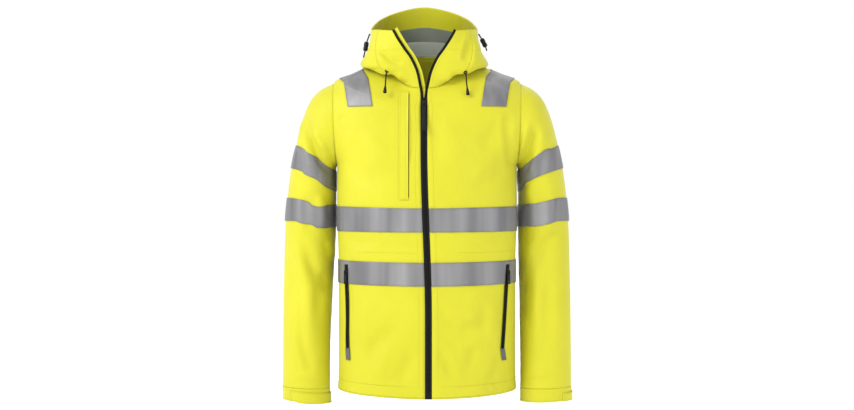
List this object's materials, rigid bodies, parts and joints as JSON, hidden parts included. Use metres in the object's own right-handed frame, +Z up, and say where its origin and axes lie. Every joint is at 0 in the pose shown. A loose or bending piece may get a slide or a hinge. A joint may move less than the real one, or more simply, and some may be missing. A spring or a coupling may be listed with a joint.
{
  "type": "hooded hi-vis work jacket",
  "caption": "Hooded high-visibility work jacket in its worn shape, hood folded down, with reflective tapes, full front zip, zipped pockets and cuff tabs.",
  "frame": {"origin": "centre of the neck at the height of the neck's side points, where the shoulders carry the jacket", "axes": "+Z up along the body, -Y to the front, +X to the wearer's left"},
  "size_m": [0.6381, 0.3163, 0.892],
  "materials": {
    "hi_vis_cloth": "fluorescent yellow woven polyester shell, matt with a soft sheen",
    "reflective_tape": "silver-grey glass-bead reflective tape, satin",
    "zip": "black woven zip tape with moulded teeth",
    "moulded": "black moulded plastic, satin",
    "cord": "black braided cord",
    "grey_tab": "grey reinforcing tab"
  },
  "bodies": {
    "root": {"front_right": "hi_vis_cloth", "upper_belt_front_right": "reflective_tape", "lower_belt_front_right": "reflective_tape", "front_left": "hi_vis_cloth", "upper_belt_front_left": "reflective_tape", "lower_belt_front_left": "reflective_tape", "back": "hi_vis_cloth", "upper_belt_back": "reflective_tape", "lower_belt_back": "reflective_tape", "shoulder_tape_front_right": "reflective_tape", "shoulder_tape_back_right": "reflective_tape", "shoulder_tape_front_left": "reflective_tape", "shoulder_tape_back_left": "reflective_tape", "sleeve_right": "hi_vis_cloth", "sleeve_upper_tape_right": "reflective_tape", "sleeve_lower_tape_right": "reflective_tape", "cuff_band_right": "hi_vis_cloth", "cuff_tab_right": "hi_vis_cloth", "sleeve_left": "hi_vis_cloth", "sleeve_upper_tape_left": "reflective_tape", "sleeve_lower_tape_left": "reflective_tape", "cuff_band_left": "hi_vis_cloth", "cuff_tab_left": "hi_vis_cloth", "collar_right": "hi_vis_cloth", "hood_side_right": "hi_vis_cloth", "hood_centre": "hi_vis_cloth", "hood_side_left": "hi_vis_cloth", "collar_left": "hi_vis_cloth", "zip_tape_right": "zip", "zip_tape_left": "zip", "storm_flap": "hi_vis_cloth", "front_zip_slider": "moulded", "pocket_zip_right": "zip", "pocket_right_slider": "moulded", "pocket_end_tab_right": "grey_tab", "pocket_zip_left": "zip", "pocket_left_slider": "moulded", "pocket_end_tab_left": "grey_tab", "chest_pocket_placket": "hi_vis_cloth", "eyelet_right": "moulded", "drawcord_right": "cord", "cord_end_right": "moulded", "eyelet_left": "moulded", "drawcord_left": "cord", "cord_end_left": "moulded", "side_cord_right": "cord", "cord_lock_right": "moulded", "side_cord_left": "cord", "cord_lock_left": "moulded"},
    "front_pull": {"front_zip_pull": "moulded"},
    "pocket_pull_right": {"pocket_right_pull": "moulded"},
    "pocket_pull_left": {"pocket_left_pull": "moulded"}
  },
  "joints": [
    {"name": "front_pull_swing", "type": "hinge", "parent": "root", "child": "front_pull", "pos_m": [-0.0065, -0.10414, -0.10497], "axis": [-1, 0, 0], "range_deg": [0, 150]},
    {"name": "pocket_pull_right_swing", "type": "hinge", "parent": "root", "child": "pocket_pull_right", "pos_m": [-0.17592, -0.08351, -0.46569], "axis": [-0.6753, 0.7375, 0], "range_deg": [0, 150]},
    {"name": "pocket_pull_left_swing", "type": "hinge", "parent": "root", "child": "pocket_pull_left", "pos_m": [0.17592, -0.08351, -0.46569], "axis": [-0.6753, -0.7375, 0], "range_deg": [0, 150]}
  ]
}
